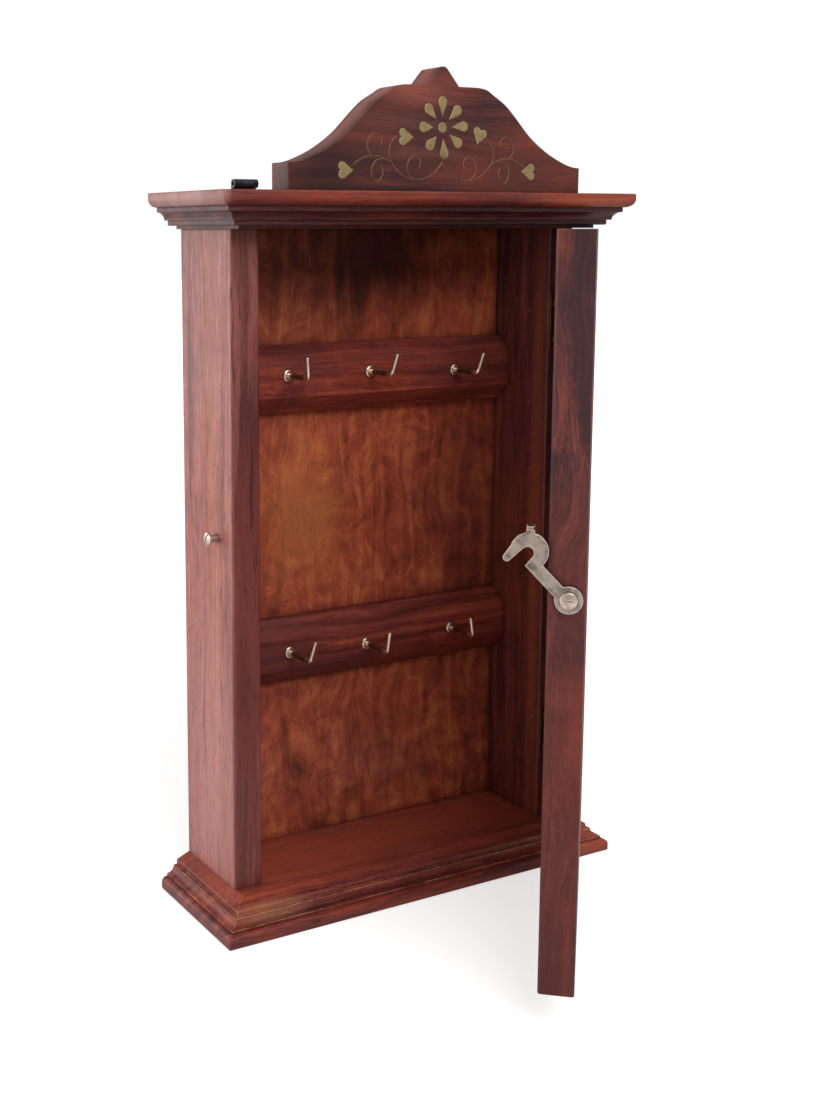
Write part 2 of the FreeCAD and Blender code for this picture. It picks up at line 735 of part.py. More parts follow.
def knuckle_notches():
    """Notches in the right side's front corner, where the knuckles and their pins' heads turn."""
    tall = "leaf_height + 2 * pin_head_height + 2 * knuckle_room"
    return [box(f"knuckle_notch_{level}",
                ("hinge_x - knuckle_radius - knuckle_room", "front_y - knuckle_radius",
                 f"{middle} - ({tall}) / 2"),
                ("hinge_setback + 2 * knuckle_radius", "2 * knuckle_radius + knuckle_room", tall))
            for level, middle in hinge_levels()]


def make_hinge_screws():
    """Countersunk screws of both leaves, drawn about the hinge axis with the door shut."""
    head = number("hinge_screw_head_height")
    one = screw(number("hinge_screw_radius"), number("hinge_screw_length"),
                number("hinge_screw_head_radius"), head)
    x = number("door_right - leaf_width / 2")
    half = number("hinge_screw_spacing") / 2
    heights = [number(middle) + sign * half for _, middle in hinge_levels() for sign in (-1, 1)]
    sunk = number("leaf_gap / 2") + head
    cabinet = group("cabinet_hinge_screws", [aimed(one, (x, sunk, z), (0, -1, 0)) for z in heights])
    stand(node("cabinet_hinge_screws", cabinet), "hinge_x", "hinge_y")
    door = group("door_hinge_screws", [aimed(one, (x, -sunk, z), (0, 1, 0)) for z in heights])
    node("door_hinge_screws", on_door(door))


def leaf(name, middle, face, sections, place):
    """A hinge leaf about the hinge axis: its plate starts at y = face, and it has some of the knuckles."""
    bottom = f"{middle} - leaf_height / 2"
    pieces = [box(f"{name}_plate", ("door_right - leaf_width", face, bottom),
                  ("leaf_width - knuckle_gap", "leaf_thickness", "leaf_height"))]
    for section in sections:
        low = f"{bottom} + leaf_height / 3 * {section} + knuckle_gap / 2"
        tall = "leaf_height / 3 - knuckle_gap"
        pieces.append(box(f"{name}_tongue_{section}", ("door_right - 2 * knuckle_gap", face, low),
                          ("knuckle_radius + 2 * knuckle_gap", "leaf_thickness", tall)))
        pieces.append(cylinder(f"{name}_knuckle_{section}", ("0", "0", low), "knuckle_radius", tall))
    bore = cylinder(f"{name}_bore", ("0", "0", bottom), "knuckle_bore", "leaf_height")
    plate = cut(f"{name}_blank", join(f"{name}_parts", *pieces), bore)
    return place(plate)


def make_hinges():
    make_hinge_screws()
    for level, middle in hinge_levels():
        fixed = leaf(f"cabinet_leaf_{level}", middle, "leaf_gap / 2", (0, 2),
                     lambda obj: stand(obj, "hinge_x", "hinge_y"))
        node(f"cabinet_leaf_{level}", cut(f"cabinet_leaf_{level}", fixed, NODES["cabinet_hinge_screws"]))
        swung = leaf(f"door_leaf_{level}", middle, "-leaf_gap / 2 - leaf_thickness", (1,), on_door)
        node(f"door_leaf_{level}", cut(f"door_leaf_{level}", swung, NODES["door_hinge_screws"]))
        name = f"hinge_pin_{level}"
        top, bottom = f"{middle} + leaf_height / 2", f"{middle} - leaf_height / 2"
        shank = cylinder(f"{name}_shank", ("hinge_x", "hinge_y", bottom), "hinge_pin_radius", "leaf_height")
        heads = [cylinder(f"{name}_{end}", ("hinge_x", "hinge_y", z), "pin_head_radius", "pin_head_height")
                 for end, z in (("head", top), ("foot", bottom + " - pin_head_height"))]
        node(name, join(name, shank, *heads))


# --- door -----------------------------------------------------------------------------------------

def make_stile(name, free_x, meeting_x, tools):
    """An upright of the door's frame, with a groove on its meeting edge for the panel and the tongues."""
    inner, outer = number("door_inner"), number("door_outer")
    ease = number("door_edge_round")
    floor = meeting_x + math.copysign(number("groove_depth"), free_x - meeting_x)
    groove_in = inner - number("groove_setback")
    groove_out = groove_in - number("groove_width")
    outline = rounded([(free_x, outer, ease), (free_x, inner, ease), (meeting_x, inner),
                       (meeting_x, groove_in), (floor, groove_in), (floor, groove_out),
                       (meeting_x, groove_out), (meeting_x, outer, ease)])
    post = on_door(padded(name + "_post", "XY", outline, "door_bottom", "door_top - door_bottom"))
    node(name, cut(name, post, *tools) if tools else post)


def make_door_rail(name, free_z, meeting_z):
    """A cross piece of the door's frame, grooved like the stiles, with a tongue at each end."""
    inner, outer = number("door_inner"), number("door_outer")
    ease = number("door_edge_round")
    floor = meeting_z + math.copysign(number("groove_depth"), free_z - meeting_z)
    groove_in = inner - number("groove_setback")
    groove_out = groove_in - number("groove_width")
    outline = rounded([(outer, free_z), (inner, free_z), (inner, meeting_z), (groove_in, meeting_z),
                       (groove_in, floor), (groove_out, floor), (groove_out, meeting_z),
                       (outer, meeting_z, ease)])
    bar = padded(name + "_bar", "YZ", outline, "door_left + stile_width", "door_width - 2 * stile_width")
    tongue_outline = rectangle(groove_out, min(free_z, floor), groove_in, max(free_z, floor))
    tongue = padded(name + "_tongue", "YZ", tongue_outline, "door_left + stile_width - groove_depth",
                    "door_width - 2 * stile_width + 2 * groove_depth")
    node(name, on_door(join(name, bar, tongue)))


def make_door_panel():
    """The panel: a thin edge in the frame's grooves, and a bevel up to a raised field outside."""
    inner = number("door_inner - groove_setback")
    edge, field = inner - number("groove_width"), inner - number("groove_width + panel_field_rise")
    lap, bevel = number("groove_depth - panel_play"), number("panel_bevel_width")

    def profile(low, high):
        return [(low - lap, inner), (high + lap, inner), (high + lap, edge), (high, edge),
                (high - bevel, field), (low + bevel, field), (low, edge), (low - lap, edge)]

    width = profile(number("door_left + stile_width"), number("door_right - stile_width"))
    across = padded("door_panel_across", "XY", rounded(width), "door_bottom", "door_top - door_bottom")
    height = [(y, z) for z, y in profile(number("door_bottom + door_rail_width"),
                                         number("door_top - door_rail_width"))]
    upright = padded("door_panel_upright", "YZ", rounded(height), "door_left", "door_width")
    node("door_panel", on_door(common("door_panel", across, upright)))


def make_door():
    left, right, width = number("door_left"), number("door_right"), number("stile_width")
    make_stile("door_latch_stile", left, left + width, [NODES["latch_screw"]])
    hinge_parts = [NODES[name] for name in ("door_leaf_upper", "door_leaf_lower", "door_hinge_screws")]
    make_stile("door_hinge_stile", right, right - width, hinge_parts)
    bottom, top, tall = number("door_bottom"), number("door_top"), number("door_rail_width")
    make_door_rail("door_top_rail", top, top - tall)
    make_door_rail("door_bottom_rail", bottom, bottom + tall)
    make_door_panel()


# --- latch ----------------------------------------------------------------------------------------

def latch_outline():
    """The swing hook, hooked: its eye about the origin, its arm towards the wall, its throat open below."""
    eye, reach = number("latch_eye_radius"), number("latch_reach")
    top, bottom = number("latch_arm_rise"), number("latch_arm_rise - latch_arm_width")
    rise, throat = number("throat_rise"), number("throat_radius")
    outer, cheek = number("latch_hook_radius"), number("latch_cheek_angle")
    finger_end, tip = rise - number("latch_finger_length"), number("latch_finger_width") / 2

    def point(x, y):
        return Vector(x, y, 0)

    def on_hook(angle):
        turn = math.radians(angle)
        return point(reach + outer * math.cos(turn), top + outer * math.sin(turn))

    arm_low = point(math.sqrt(eye ** 2 - bottom ** 2), bottom)
    arm_high = point(math.sqrt(eye ** 2 - top ** 2), top)
    heel = point(reach - number("latch_heel"), bottom)
    throat_in, throat_top, throat_out = [point(reach + x, rise + y) for x, y in
                                         ((-throat, 0), (0, throat), (throat, 0))]
    tip_in = point(reach + throat, finger_end)
    tip_end = point(reach + throat + tip, finger_end - tip)
    tip_out = point(reach + throat + 2 * tip, finger_end)
    return [Part.LineSegment(arm_low, heel), Part.LineSegment(heel, throat_in),
            Part.Arc(throat_in, throat_top, throat_out), Part.LineSegment(throat_out, tip_in),
            Part.Arc(tip_in, tip_end, tip_out), Part.LineSegment(tip_out, on_hook(cheek)),
            Part.Arc(on_hook(cheek), on_hook(90), on_hook(180)), Part.LineSegment(on_hook(180), arm_high),
            Part.Arc(arm_high, point(-eye, 0), arm_low),
            circle(0, 0, number("latch_screw_radius + running_clearance"))]


def make_latch_screws():
    head_height = number("screw_head_height")
    pivot = screw(number("latch_screw_radius"), number("latch_screw_length"),
                  number("latch_screw_head_radius"), head_height, number("latch_neck"), domed=True)
    turned = pivot.rotated(Vector(), Vector(0, 0, 1), number("latch_screw_angle"))
    place = (number("door_left"), number("latch_y"), number("latch_z"))
    node("latch_screw", on_door(group("latch_screw", [aimed(turned, place, (-1, 0, 0))])))
    catch = screw(number("catch_screw_radius"), number("catch_screw_length"),
                  number("catch_screw_head_radius"), head_height, number("catch_neck"), domed=True)
    turned = catch.rotated(Vector(), Vector(0, 0, 1), number("catch_screw_angle"))
    place = (-number("half_width"), number("catch_y"), number("catch_z"))
    node("catch_screw", group("catch_screw", [aimed(turned, place, (-1, 0, 0))]))


def make_latch():
    plate = padded("latch_plate", "YZ", latch_outline(), "-latch_gap - latch_thickness", "latch_thickness")
    width, length, lip = number("latch_tab_width"), number("latch_tab_length"), number("latch_tab_lip")
    thick, outer = number("latch_thickness"), number("latch_hook_radius")
    face_x, root = number("-latch_gap - latch_thickness"), outer / 2
    stub = Part.makeBox(thick, outer + length - root, width, Vector(face_x, root, -width / 2))
    bend_x, bend_y = face_x - lip + width / 2, outer + length - thick
    lifted = Part.makeBox(face_x - bend_x, thick, width, Vector(bend_x, bend_y, -width / 2))
    round_end = Part.makeCylinder(width / 2, thick, Vector(bend_x, bend_y, 0), Vector(0, 1, 0))
    tab = stub.fuse([lifted, round_end]).removeSplitter()
    tab.rotate(Vector(), Vector(1, 0, 0), number("latch_tab_angle"))
    tab.translate(Vector(0, number("latch_reach"), number("latch_arm_rise")))
    hook = join("latch_hook", plate, made("latch_tab", tab))
    pivot = Placement(Vector(number("door_left"), number("latch_y"), number("latch_z")),
                      Rotation(Vector(1, 0, 0), number("latch_open_angle")))
    hook.Placement = DOOR_FRAME.multiply(pivot)
    node("latch_hook", hook)


# --- hangers --------------------------------------------------------------------------------------

def make_hangers():
    """Black steel straps screwed to the cornice's back, each rolled into an eye above it."""
    for side, sign in (("left", "-1"), ("right", "1")):
        name = f"hanger_{side}"
        low_x = f"{sign} * hanger_x - hanger_width / 2"
        roll_z = "hanger_top - hanger_roll_radius"
        roll_y = "back_y + hanger_thickness - hanger_roll_radius"
        strap = box(f"{name}_strap", (low_x, "back_y", "cabinet_top - hanger_drop"),
                    ("hanger_width", "hanger_thickness", f"{roll_z} - cabinet_top + hanger_drop"))
        roll = cylinder(f"{name}_roll", (low_x, roll_y, roll_z), "hanger_roll_radius", "hanger_width", "x")
        eye = cylinder(f"{name}_eye", (low_x, roll_y, roll_z), "hanger_eye_radius", "hanger_width", "x")
        node(name, cut(name, join(f"{name}_blank", strap, roll), eye, NODES["hanger_screws"]))


# --- the whole cabinet ----------------------------------------------------------------------------

def build():
    make_joinery()
    make_latch_screws()
    make_hinges()
    make_plinth()
    make_cornice()
    make_sides()
    make_back_panel()
    make_rails()
    make_crest()
    make_door()
    make_latch()
    make_hangers()
    doc.recompute()


def check():
    for obj in doc.Objects:
        if "Invalid" in obj.State or "Error" in obj.State:
            raise RuntimeError(f"{obj.Label} failed: {obj.State}")
    for name, obj in NODES.items():
        if obj.Shape.isNull() or not obj.Shape.isValid() or not obj.Shape.Solids:
            raise RuntimeError(f"{name} has no valid solid")


def export():
    os.makedirs("parts", exist_ok=True)
    for name, obj in NODES.items():
        obj.Shape.exportStep(f"parts/{name}.step")
        bounds = obj.Shape.BoundBox
        print(f"{name:22s} {len(obj.Shape.Solids):2d} solids {obj.Shape.Volume / 1000:8.2f} cm3  "
              f"x {bounds.XMin:7.1f} {bounds.XMax:7.1f}  y {bounds.YMin:7.1f} {bounds.YMax:7.1f}  "
              f"z {bounds.ZMin:7.1f} {bounds.ZMax:7.1f}")


build()
check()
export()
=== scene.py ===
"""Key cabinet of satin-varnished rosewood with brass hooks, its brass-inlaid crest and its door ajar.

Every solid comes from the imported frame, in metres, +Z up and +Y to the wall. This script gives each of them
its finish, and adds the floor, the lamps and the camera.
"""
import math
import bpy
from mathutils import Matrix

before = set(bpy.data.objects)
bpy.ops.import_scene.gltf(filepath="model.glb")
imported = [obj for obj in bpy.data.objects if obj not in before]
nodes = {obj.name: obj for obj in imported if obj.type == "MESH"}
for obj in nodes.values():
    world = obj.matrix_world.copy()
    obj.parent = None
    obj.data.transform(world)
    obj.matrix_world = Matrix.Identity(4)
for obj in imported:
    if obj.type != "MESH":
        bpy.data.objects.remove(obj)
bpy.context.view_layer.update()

from types import SimpleNamespace

import bpy
from mathutils import Vector

MM = 0.001
DOOR_TURN = math.radians(48.5)

# The camera: its place, how far it looks down and to the right, and its lens on a 36 mm high sensor.
CAMERA_PLACE = Vector((-356.4, -534.9, 294.4)) * MM
CAMERA_DOWN = math.radians(8.7)
CAMERA_ROLL = math.radians(0.19)
CAMERA_TURN = math.radians(-28.93)
CAMERA_SENSOR = 36.0
CAMERA_LENS = 47.48
CAMERA_SHIFT = (0.127, -0.0892)
CAMERA_NEAR = 0.01

# The table that the cabinet stands on, just below its plinth.
TABLE_RADIUS = 8.0
TABLE_CORNERS = 64
TABLE_DROP = 0.2 * MM

# What the lamps aim at: the middle of the cabinet.
CABINET_MIDDLE = Vector((0.0, 0.0, 0.17))


# --- node trees ---------------------------------------------------------------------------------------------

# The sockets of a Mix node that work on colours: its factor, its two colours and what comes out.
FACTOR, FIRST, SECOND, MIXED = 0, 6, 7, 2


def linear(hex_colour):
    """An sRGB hex colour as the linear RGBA that shaders read."""
    channels = [int(hex_colour[i:i + 2], 16) / 255 for i in (1, 3, 5)]
    return [c / 12.92 if c <= 0.04045 else ((c + 0.055) / 1.055) ** 2.4 for c in channels] + [1.0]


def add(tree, kind, inputs=(), **settings):
    """Add one node. Settings are its properties. Inputs are for its sockets, in their order or by name: a
    value, a socket to link, or a node, which is linked by its first output."""
    node = tree.nodes.new(kind)
    for name, value in settings.items():
        setattr(node, name, value)
    for name, value in (inputs.items() if isinstance(inputs, dict) else enumerate(inputs)):
        if isinstance(value, bpy.types.Node):
            value = value.outputs[0]
        if isinstance(value, bpy.types.NodeSocket):
            tree.links.new(value, node.inputs[name])
        else:
            node.inputs[name].default_value = value
    return node


def blank_material(name):
    """A new material, its empty node tree, and the place on the object that its patterns read."""
    material = bpy.data.materials.new(name)
    material.use_nodes = True
    tree = material.node_tree
    tree.nodes.clear()
    return material, tree, add(tree, "ShaderNodeTexCoord").outputs["Object"]


# --- what use does to any surface, and painted shade in its corners -----------------------------------------

def edge_share(tree, radius):
    """Where the surface turns within a radius: 0 on flats, 1 on sharp edges. Also the rounded normal."""
    rounded = add(tree, "ShaderNodeBevel", {"Radius": radius}, samples=6)
    flat = add(tree, "ShaderNodeNewGeometry").outputs["Normal"]
    facing = add(tree, "ShaderNodeVectorMath", (rounded, flat), operation="DOT_PRODUCT").outputs["Value"]
    return add(tree, "ShaderNodeMapRange", (facing, 0.995, 0.86)), rounded


def overlaid(tree, colour, overlays):
    """A colour with layers laid over it in turn, real stains and painted light and shade alike: each is the
    share that it covers, and a hex colour.
    """
    for share, overlay_hex in overlays:
        colour = add(tree, "ShaderNodeMix", {FACTOR: share, FIRST: colour, SECOND: linear(overlay_hex)},
                     data_type="RGBA").outputs[MIXED]
    return colour


def corner_shade_and_grime(tree, colour, reach, closed, darkest):
    """Painted shade, also standing for dirt, in corners narrower than the reach: the colour is darkened most
    where they are closed in.
    """
    openness = add(tree, "ShaderNodeAmbientOcclusion", {"Distance": reach}, samples=4).outputs["AO"]
    shade_and_grime = add(tree, "ShaderNodeMapRange", (openness, closed, 0.85, darkest, 1.0))
    return add(tree, "ShaderNodeMix", {FACTOR: 1.0, FIRST: colour, SECOND: shade_and_grime}, data_type="RGBA",
               blend_type="MULTIPLY").outputs[MIXED]


# --- wood ---------------------------------------------------------------------------------------------------

# Which way a board's grain runs: the turn that brings the grain onto the pattern's X axis.
GRAIN_ACROSS = (0.0, 0.0, 0.0)
GRAIN_UPRIGHT = (0.0, math.radians(90), 0.0)
GRAIN_DOOR_ACROSS = (0.0, 0.0, -DOOR_TURN)
GRAIN_LEANING = (math.radians(7), math.radians(90), 0.0)

# Colours from the darkest streak to the lightest, and the tones at which they stand.
TONES = (0.1, 0.32, 0.5, 0.68, 0.9)
ROSEWOOD = ("#3C1817", "#622622", "#84382D", "#9C4836", "#B25F42")
# Paler wood for the left side: partly its own tone, partly a painted sheen from the lamps at its left.
SHEEN_PALE_ROSEWOOD = ("#6A3532", "#8C4C44", "#A8605A", "#BE7668", "#D08E7A")
DARK_ROSEWOOD = ("#251112", "#3E1B1B", "#582826", "#70342E", "#8A4234")
PLUM_ROSEWOOD = ("#221010", "#361A1A", "#482222", "#5C2C28", "#763A30")
VENEER = ("#5E271B", "#88402D", "#A64E36", "#BC6642", "#D08050")

# Colours that come over the palette.
PLUM_DRIFT = "#4E262C"
ORANGE_DRIFT = "#A84A2C"
VEIN_LINE = "#2C1416"
PORE_DARK = "#2A1210"
SCUFF_PALE = "#C08A72"

# Marks of the grain: length along it, width across it, and how much finer detail they hold. Pores and
# scratches are drawn a little coarser than real ones, so that they show.
BROAD_STREAKS = (190 * MM, 9 * MM, 4.0)
MEDIUM_STREAKS = (60 * MM, 1.7 * MM, 4.0)
FINE_STREAKS = (18 * MM, 0.4 * MM, 2.0)
COLOUR_DRIFT = (95 * MM, 34 * MM, 2.0)
DARK_VEINS = (120 * MM, 0.9 * MM, 2.0)
OPEN_PORES = (9 * MM, 0.34 * MM, 1.0)
SCRATCHES = (34 * MM, 0.3 * MM, 1.0)

# Other sizes in the wood and its varnish.
GRAIN_BEND = (85 * MM, 30 * MM)
CLOUD_SIZE = 16 * MM
WEAR_SIZE = 9 * MM
HAND_WAVE = 22 * MM
EDGE_ROUNDING = 0.8 * MM
SCRATCH_TURN = (0.3, 1.1, 1.45)

# A common board. Its lengths are in millimetres, and the rest are shares.
COMMON_BOARD = dict(
    palette=ROSEWOOD,
    heart=(40.0, 25.0),  # how far off the tree's heart is, across the grain
    ring=6.0,            # one growth ring
    sway=12.0,           # how far the grain wanders sideways
    contrast=1.0,        # how strong the streaks are
    figure=0.15,         # how strong the growth rings are
    mottle=0.2,          # how strong the cloudy figure is
    lines=0.3,           # how dark the veins are
    plum=0.35,           # how far the colour drifts to plum
    glow=0.25,           # how far it drifts to orange
    wear=0.5,            # how far the edges are rubbed through
    rub="#B8704E",       # the lighter wood that shows there
    scuffs=0.0,          # how pale the scratches are
    coat=0.15,           # how much the varnish shines
)


def streaks(tree, grain, marks, seed):
    """Noise drawn out along the grain, with marks of the length, width and detail given."""
    length, width, detail = marks
    scaled = add(tree, "ShaderNodeVectorMath", (grain, (1 / length, 1 / width, 1 / width)),
                 operation="MULTIPLY")
    return add(tree, "ShaderNodeTexNoise", {"Vector": scaled, "W": seed, "Scale": 1.0, "Detail": detail,
                                            "Roughness": 0.55}, noise_dimensions="4D")


def wandering(tree, place, turn, seed, board):
    """Object coordinates with the grain on X and the tree's heart on the axis, pushed sideways so that the
    grain wanders."""
    along, across = GRAIN_BEND
    sway = board.sway * MM
    grain = add(tree, "ShaderNodeMapping", {"Vector": place, "Rotation": turn,
                                            "Location": (0.61 * seed, *(off * MM for off in board.heart))})
    drawn_out = add(tree, "ShaderNodeVectorMath", (grain, (1 / along, 1 / across, 1 / across)),
                    operation="MULTIPLY")
    push = add(tree, "ShaderNodeTexNoise", {"Vector": drawn_out, "Scale": 1.0, "Detail": 2.0})
    centred = add(tree, "ShaderNodeVectorMath", (push.outputs["Color"], (0.5, 0.5, 0.5)),
                  operation="SUBTRACT")
    sideways = add(tree, "ShaderNodeVectorMath", (centred, (0.0, sway, sway)), operation="MULTIPLY")
    return add(tree, "ShaderNodeVectorMath", (grain, sideways), operation="ADD")


def growth_rings(tree, grain, ring, wobble):
    """Rings about the heart: each darkens slowly and ends sharply."""
    across = add(tree, "ShaderNodeVectorMath", (grain, (0.0, 1.0, 1.0)), operation="MULTIPLY")
    radius = add(tree, "ShaderNodeVectorMath", (across,), operation="LENGTH").outputs["Value"]
    shifted = add(tree, "ShaderNodeMath", (wobble, 0.9 * ring, radius), operation="MULTIPLY_ADD")
    turns = add(tree, "ShaderNodeMath", (shifted, ring), operation="DIVIDE")
    phase = add(tree, "ShaderNodeMath", (turns,), operation="FRACT")
    sharp_end = add(tree, "ShaderNodeMapRange", (phase, 1.0, 0.82))
    return add(tree, "ShaderNodeMath", (phase, sharp_end), operation="MINIMUM")


def toned(tree, layers, palette):
    """The palette's colours over the sum of some layers, each with its share of the tone."""
    tone = 0.5 - sum(share for _, share in layers) / 2
    for layer, share in layers:
        tone = add(tree, "ShaderNodeMath", (layer, share, tone), operation="MULTIPLY_ADD")
    colours = add(tree, "ShaderNodeValToRGB", (add(tree, "ShaderNodeMapRange", (tone, 0.2, 0.8)),))
    stops = colours.color_ramp.elements
    while len(stops) < len(palette):
        stops.new(0.5)
    for stop, position, colour in zip(stops, TONES, palette):
        stop.position = position
        stop.color = linear(colour)
    return colours


def blot(tree, place, ragged, centre, size, strength):
    """A soft ragged blot on the wood, strongest at its centre: centre and size are in millimetres."""
    off = add(tree, "ShaderNodeVectorMath", (place, [c * MM for c in centre]), operation="SUBTRACT")
    scaled = add(tree, "ShaderNodeVectorMath", (off, [1 / (s * MM) for s in size]), operation="MULTIPLY")
    away = add(tree, "ShaderNodeVectorMath", (scaled,), operation="LENGTH").outputs["Value"]
    frayed = add(tree, "ShaderNodeMath", (ragged, 1.6, away), operation="MULTIPLY_ADD")
    share = add(tree, "ShaderNodeMapRange", (frayed, 1.8, 0.9))
    return add(tree, "ShaderNodeMath", (share, strength), operation="MULTIPLY")


def drifts(tree, grain, seed, board):
    """Where the colour drifts from plum to orange along a board."""
    drift = streaks(tree, grain, COLOUR_DRIFT, seed + 3.5)
    return ((add(tree, "ShaderNodeMapRange", (drift, 0.46, 0.64, 0.0, board.plum)), PLUM_DRIFT),
            (add(tree, "ShaderNodeMapRange", (drift, 0.50, 0.34, 0.0, board.glow)), ORANGE_DRIFT))


def handling(tree, place, worn, edge, seed, board):
    """Where hands and keys have marked the varnish: edges rubbed through, and pale scratches."""
    bare = add(tree, "ShaderNodeMath", (edge, add(tree, "ShaderNodeMapRange", (worn, 0.42, 0.62))),
               operation="MULTIPLY")
    slanted = add(tree, "ShaderNodeMapping", {"Vector": place, "Rotation": SCRATCH_TURN})
    scratch = add(tree, "ShaderNodeMapRange", (streaks(tree, slanted, SCRATCHES, seed + 6.4), 0.73, 0.78))
    return ((add(tree, "ShaderNodeMath", (bare, board.wear), operation="MULTIPLY"), board.rub),
            (add(tree, "ShaderNodeMath", (scratch, board.scuffs), operation="MULTIPLY"), SCUFF_PALE))


def varnished_surface(tree, place, fine, pores, rounded):
    """The normal of the varnish: it sinks into the fine grain and the pores, and waves as hand work does."""
    pits = add(tree, "ShaderNodeMath", (pores, 0.8), operation="MULTIPLY")
    relief = add(tree, "ShaderNodeMath", (fine, pits), operation="SUBTRACT")
    open_grain = add(tree, "ShaderNodeBump", {"Height": relief, "Strength": 0.22, "Distance": 0.12 * MM,
                                              "Normal": rounded})
    hand = add(tree, "ShaderNodeTexNoise", {"Vector": place, "Scale": 1 / HAND_WAVE, "Detail": 1.0})
    return add(tree, "ShaderNodeBump", {"Height": hand, "Strength": 0.25, "Distance": 0.5 * MM,
                                        "Normal": open_grain})


def varnished_wood(name, turn, seed, changes, marks):
    """Open-grained rosewood under satin varnish, planed and brushed by hand: streaks along the grain, dark
    pores, colour that drifts from plum to orange, edges rubbed through to lighter wood, and painted shade,
    also standing for dirt, where pieces meet. Marks are blots on single boards, some of them painted light
    and shade.
    Changes are what differs from the common board."""
    board = SimpleNamespace(**{**COMMON_BOARD, **changes})
    material, tree, place = blank_material(name)
    grain = wandering(tree, place, turn, seed, board)

    broad = streaks(tree, grain, BROAD_STREAKS, seed)
    medium = streaks(tree, grain, MEDIUM_STREAKS, seed + 1.3)
    fine = streaks(tree, grain, FINE_STREAKS, seed + 2.7)
    rings = growth_rings(tree, grain, board.ring * MM, medium)
    cloud = add(tree, "ShaderNodeTexNoise", {"Vector": grain, "Scale": 1 / CLOUD_SIZE, "Detail": 5.0,
                                             "Roughness": 0.6, "Distortion": 1.2})
    colour = toned(tree, ((broad, 0.65 * board.contrast), (medium, 0.5 * board.contrast),
                          (fine, 0.5 * board.contrast), (rings, board.figure), (cloud, board.mottle)),
                   board.palette)
    colour = overlaid(tree, colour, drifts(tree, grain, seed, board))
    colour = overlaid(tree, colour, [(blot(tree, place, broad, centre, size, strength), overlay_hex)
                                    for centre, size, overlay_hex, strength in marks])

    veins = add(tree, "ShaderNodeMapRange", (streaks(tree, grain, DARK_VEINS, seed + 5.9), 0.60, 0.70))
    pores = add(tree, "ShaderNodeMapRange", (streaks(tree, grain, OPEN_PORES, seed + 4.1), 0.60, 0.70))
    colour = overlaid(tree, colour, (
        (add(tree, "ShaderNodeMath", (veins, board.lines), operation="MULTIPLY"), VEIN_LINE),
        (add(tree, "ShaderNodeMath", (pores, 0.5), operation="MULTIPLY"), PORE_DARK)))

    edge, rounded = edge_share(tree, EDGE_ROUNDING)
    worn = add(tree, "ShaderNodeTexNoise", {"Vector": place, "Scale": 1 / WEAR_SIZE, "Detail": 4.0,
                                            "Roughness": 0.7})
    colour = overlaid(tree, colour, handling(tree, place, worn, edge, seed, board))
    # Painted shade in the corners, also standing for dirt in the joints.
    colour = corner_shade_and_grime(tree, colour, 5 * MM, 0.25, 0.5)

    matt_pores = add(tree, "ShaderNodeMath", (pores, 0.4), operation="MULTIPLY")
    dullness = add(tree, "ShaderNodeMath", (worn, matt_pores), operation="ADD")
    satin = add(tree, "ShaderNodeMapRange", (dullness, 0.3, 1.0, 0.40, 0.62))
    varnish = add(tree, "ShaderNodeBsdfPrincipled", {
        "Base Color": colour, "Roughness": satin, "IOR": 1.5, "Specular IOR Level": 0.3,
        "Coat Weight": board.coat, "Coat Roughness": 0.24,
        "Normal": varnished_surface(tree, place, fine, pores, rounded)})
    add(tree, "ShaderNodeOutputMaterial", {"Surface": varnish})
    return material


# Each board's grain, its place in the tree (a seed), and how it differs from the common board.
BOARDS = {
    "plinth_base": (GRAIN_ACROSS, 1.1, dict(glow=0.5, wear=0.8)),
    # The moulding's pale rubbed edges also stand in for a painted highlight along it.
    "plinth_moulding": (GRAIN_ACROSS, 2.4, dict(glow=0.3, wear=0.9, rub="#D19A78")),
    "cornice_bed": (GRAIN_ACROSS, 3.2, dict(palette=DARK_ROSEWOOD, wear=0.4)),
    "cornice_cap": (GRAIN_ACROSS, 4.7, dict(contrast=0.8, plum=0.5, wear=0.9)),
    "left_side": (GRAIN_UPRIGHT, 5.3, dict(palette=SHEEN_PALE_ROSEWOOD, plum=0.15, glow=0.2, figure=0.08,
                                           lines=0.7)),
    "right_side": (GRAIN_UPRIGHT, 6.1, dict(palette=DARK_ROSEWOOD, glow=0.4, scuffs=0.9)),
    "back_panel": (GRAIN_LEANING, 7.9, dict(palette=VENEER, contrast=0.5, figure=0.1, ring=8.0, sway=34.0,
                                            heart=(-6.7, -30.0), plum=0.2, glow=0.15, lines=0.0,
                                            mottle=0.7)),
    "upper_key_rail": (GRAIN_ACROSS, 8.3, dict(contrast=0.7, plum=0.6)),
    "lower_key_rail": (GRAIN_ACROSS, 9.2, dict(contrast=0.7, plum=0.7)),
    "crest": (GRAIN_ACROSS, 10.6, dict(palette=PLUM_ROSEWOOD, contrast=0.8, plum=0.1, glow=0.3, figure=0.1,
                                       coat=0.05)),
    "crest_dowels": (GRAIN_UPRIGHT, 11.5, {}),
    "door_latch_stile": (GRAIN_UPRIGHT, 12.4, dict(palette=DARK_ROSEWOOD, glow=0.7, figure=0.2, ring=9.0,
                                                   sway=30.0, plum=0.2, coat=0.05, mottle=0.4)),
    "door_hinge_stile": (GRAIN_UPRIGHT, 13.8, {}),
    "door_top_rail": (GRAIN_DOOR_ACROSS, 14.9, {}),
    "door_bottom_rail": (GRAIN_DOOR_ACROSS, 15.7, {}),
    "door_panel": (GRAIN_UPRIGHT, 16.6, dict(palette=VENEER, contrast=0.7, figure=0.1, mottle=0.5)),
}
